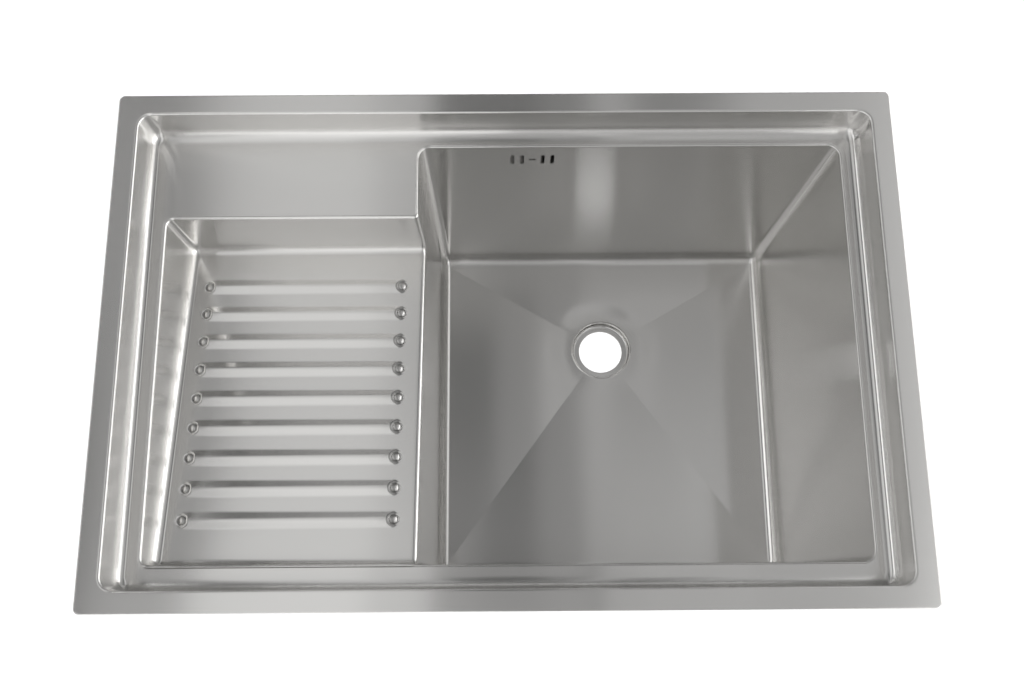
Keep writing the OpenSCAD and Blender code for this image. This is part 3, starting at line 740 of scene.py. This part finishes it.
# Rolled butyl rubber pad: matt black with a faint pebble 1.7 mm across.
butyl, tree, shader = new_material("butyl_rubber_pad")
place = add(tree, "ShaderNodeTexCoord")
pebble = add(tree, "ShaderNodeTexNoise", {"Scale": 600.0, "Detail": 2.0}, Vector=place.outputs["Object"])
tone = add(
    tree, "ShaderNodeMix", {"data_type": "RGBA", 6: hex_linear("232325"), 7: hex_linear("343436")},
    i0=pebble.outputs[0],
)
tree.links.new(tone.outputs[2], shader.inputs["Base Color"])
shader.inputs["Roughness"].default_value = 0.75
bump = add(tree, "ShaderNodeBump", {"Strength": 0.5, "Distance": 0.0004}, Height=pebble.outputs[0])
tree.links.new(bump.outputs[0], shader.inputs["Normal"])

finish = {"sink_steel": steel, "plated_steel": zinc, "foam_seal": foam, "sound_pad": butyl}
for part in frame["record"]["subparts"]:
    node = frame["nodes"][part["node"]]
    node.data.materials.clear()
    node.data.materials.append(finish[part["material_slot"]])
for piece in (deck, washboard, bowl):
    piece.data.materials.append(steel)
bowl.data.materials.append(turned)
for face in bowl.data.polygons:
    if (face.center.xy - waste.xy * MM).length < SEAT_RIM * MM:
        face.material_index = 1

# Floor and light

# Pale painted studio floor, far enough below that the sink can be seen from underneath as well. It glows
# softly, so that it looks white through the waste hole too.
white, tree, shader = new_material("white_studio_floor")
shader.inputs["Base Color"].default_value = hex_linear("E0E0E0")
shader.inputs["Roughness"].default_value = 0.9
shader.inputs["Emission Color"].default_value = hex_linear("FFFFFF")
shader.inputs["Emission Strength"].default_value = 0.45
floor_data = bpy.data.meshes.new("floor")
floor_corners = [(x, y, -1.3) for x, y in ((-9, -9), (9, -9), (9, 9), (-9, 9))]
floor_data.from_pydata(floor_corners, [], [(0, 1, 2, 3)])
floor = bpy.data.objects.new("floor", floor_data)
floor.data.materials.append(white)
scene.collection.objects.link(floor)

# Room: dark grey overhead and a middle grey towards the horizon.
world = bpy.data.worlds.new("room")
world.use_nodes = True
tree = world.node_tree
sky = tree.nodes["Background"]
way = add(tree, "ShaderNodeTexCoord")
part = add(tree, "ShaderNodeSeparateXYZ", i0=way.outputs["Generated"])
shade = add(tree, "ShaderNodeValToRGB", i0=part.outputs["Z"])
shade.color_ramp.interpolation = "EASE"
shade.color_ramp.elements[0].position = 0.15
shade.color_ramp.elements[0].color = (0.2, 0.2, 0.2, 1)
shade.color_ramp.elements[1].position = 0.4
shade.color_ramp.elements[1].color = (0.03, 0.03, 0.03, 1)
tree.links.new(shade.outputs[0], sky.inputs["Color"])
scene.world = world


def softbox(name, place, facing, width, height, brightness):
    """Adds a soft light. Brightness is that of its face as a perfect mirror would show it."""
    data = bpy.data.lights.new(name, "AREA")
    data.shape = "RECTANGLE"
    data.size, data.size_y = width, height
    data.energy = brightness * math.pi * width * height
    lamp = bpy.data.objects.new(name, data)
    scene.collection.objects.link(lamp)
    lamp.location = place
    lamp.rotation_euler = facing.to_track_quat("-Z", "Y").to_euler()
    lamp.visible_camera = False


# The room's lights, in metres. WALL is how far the walls stand from the middle of the sink.
WALL, CEILING = 2.8, 1.5
LOW, HIGH = -0.1, 0.95
LOW_H, HIGH_H = 1.0, 1.1

# Panels that face down from the ceiling, each reaching from x0 to x1 and from y0 to y1. They hang in layers
# 10 mm apart, so that their light adds up where they overlap.
overhead = (
    ("left_half", -1.25, -0.2, -WALL, WALL, 0.24),
    ("right_half", 0.1, WALL, -WALL, WALL, 0.24),
    ("gap_front", -0.2, 0.1, -WALL, 0.0, 0.24),
    ("gap", -0.2, 0.1, 0.0, 1.1, 0.08),
    ("gap_back", -0.2, 0.1, 1.1, WALL, 0.22),
    ("front_half", -1.25, WALL, -WALL, -0.7, 0.2),
    ("far_left", -WALL, -1.6, -WALL, WALL, 1.6),
    ("left_edge", -1.45, -1.1, -WALL, WALL, 0.12),
    ("left_edge_near", -1.4, -1.0, -WALL, -0.2, 0.15),
    ("left", -1.0, -0.25, -WALL, WALL, 0.28),
    ("left_middle", -1.0, -0.45, -WALL, WALL, 0.15),
    ("left_near", -1.1, -0.1, -WALL, 0.5, 0.16),
    ("middle_near", -0.1, 0.25, -0.9, 0.1, 0.15),
    ("strip", 0.29, 0.43, -WALL, WALL, 0.22),
    ("right_middle", 0.43, 0.76, -0.7, 0.6, 0.28),
    ("right_back", 0.76, WALL, -0.7, WALL, 0.25),
    ("far_right", 1.4, WALL, -WALL, WALL, 0.4),
    ("far_right_near", 1.4, WALL, -WALL, -0.7, 1.3),
)
for layer, (name, x0, x1, y0, y1, brightness) in enumerate(overhead):
    middle = ((x0 + x1) / 2, (y0 + y1) / 2, CEILING + layer * 0.01)
    softbox(name, middle, up(-1), x1 - x0, y1 - y0, brightness)
softbox("left_low", (-WALL, 0, LOW), -left, 2 * WALL, LOW_H, 1.0)
softbox("right_low", (WALL, 0, LOW), left, 2 * WALL, LOW_H, 1.2)
softbox("right_high", (WALL, 0, HIGH), left, 2 * WALL, HIGH_H, 3.2)
softbox("front_low", (0, -WALL, LOW), backward, 2 * WALL, LOW_H, 0.8)
softbox("front_left_high", (-WALL / 2, -WALL, HIGH), backward, WALL, HIGH_H, 1.5)
softbox("front_right_high", (WALL / 2, -WALL, HIGH), backward, WALL, HIGH_H, 0.7)
softbox("back_low", (0, WALL, LOW), forward, 2 * WALL, LOW_H, 1.6)

# Plain display, with no film look on the tones.
scene.view_settings.view_transform = "Standard"
scene.view_settings.look = "None"
scene.view_settings.exposure = 0
scene.view_settings.gamma = 1
